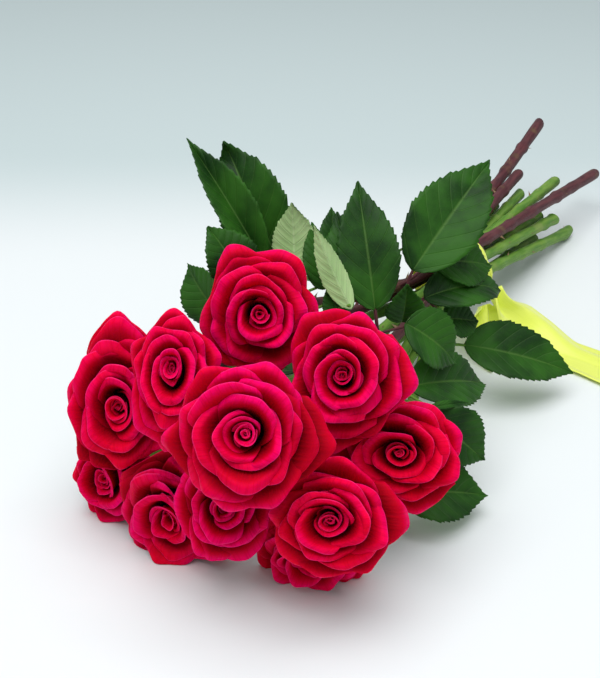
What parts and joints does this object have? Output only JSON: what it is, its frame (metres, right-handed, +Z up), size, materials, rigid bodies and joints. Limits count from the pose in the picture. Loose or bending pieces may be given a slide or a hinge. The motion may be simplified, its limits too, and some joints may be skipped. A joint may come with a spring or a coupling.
{
  "type": "bunch of roses",
  "caption": "Bunch of cut pink-red roses with leafy, prickled stems, lying on its side and tied with a lime yellow satin ribbon that has loose tails.",
  "frame": {"origin": "middle of the bounding box in plan, on the surface the bunch lies on", "axes": "+Y along the stems from the blooms towards the cut feet, +Z up off the surface, +X to the side of the long ribbon tail"},
  "size_m": [0.2786, 0.5412, 0.1614],
  "materials": {
    "petals": "velvety matte",
    "green_stem_and_leaves": "satin",
    "maroon_stem_and_leaves": "satin",
    "ribbon_satin": "satin sheen"
  },
  "bodies": {
    "root": {"rose_01_bloom": "petals", "rose_02_bloom": "petals", "rose_03_bloom": "petals", "rose_04_bloom": "petals", "rose_05_bloom": "petals", "rose_06_bloom": "petals", "rose_07_bloom": "petals", "rose_08_bloom": "petals", "rose_09_bloom": "petals", "rose_10_bloom": "petals", "rose_11_bloom": "petals", "rose_01_stem": "maroon_stem_and_leaves", "rose_02_stem": "maroon_stem_and_leaves", "rose_03_stem": "green_stem_and_leaves", "rose_04_stem": "green_stem_and_leaves", "rose_05_stem": "green_stem_and_leaves", "rose_06_stem": "green_stem_and_leaves", "rose_07_stem": "maroon_stem_and_leaves", "rose_08_stem": "green_stem_and_leaves", "rose_09_stem": "green_stem_and_leaves", "rose_10_stem": "green_stem_and_leaves", "rose_11_stem": "green_stem_and_leaves", "ribbon_band": "ribbon_satin", "ribbon_knot": "ribbon_satin", "ribbon_long_tail": "ribbon_satin", "ribbon_short_tail": "ribbon_satin"}
  },
  "joints": []
}
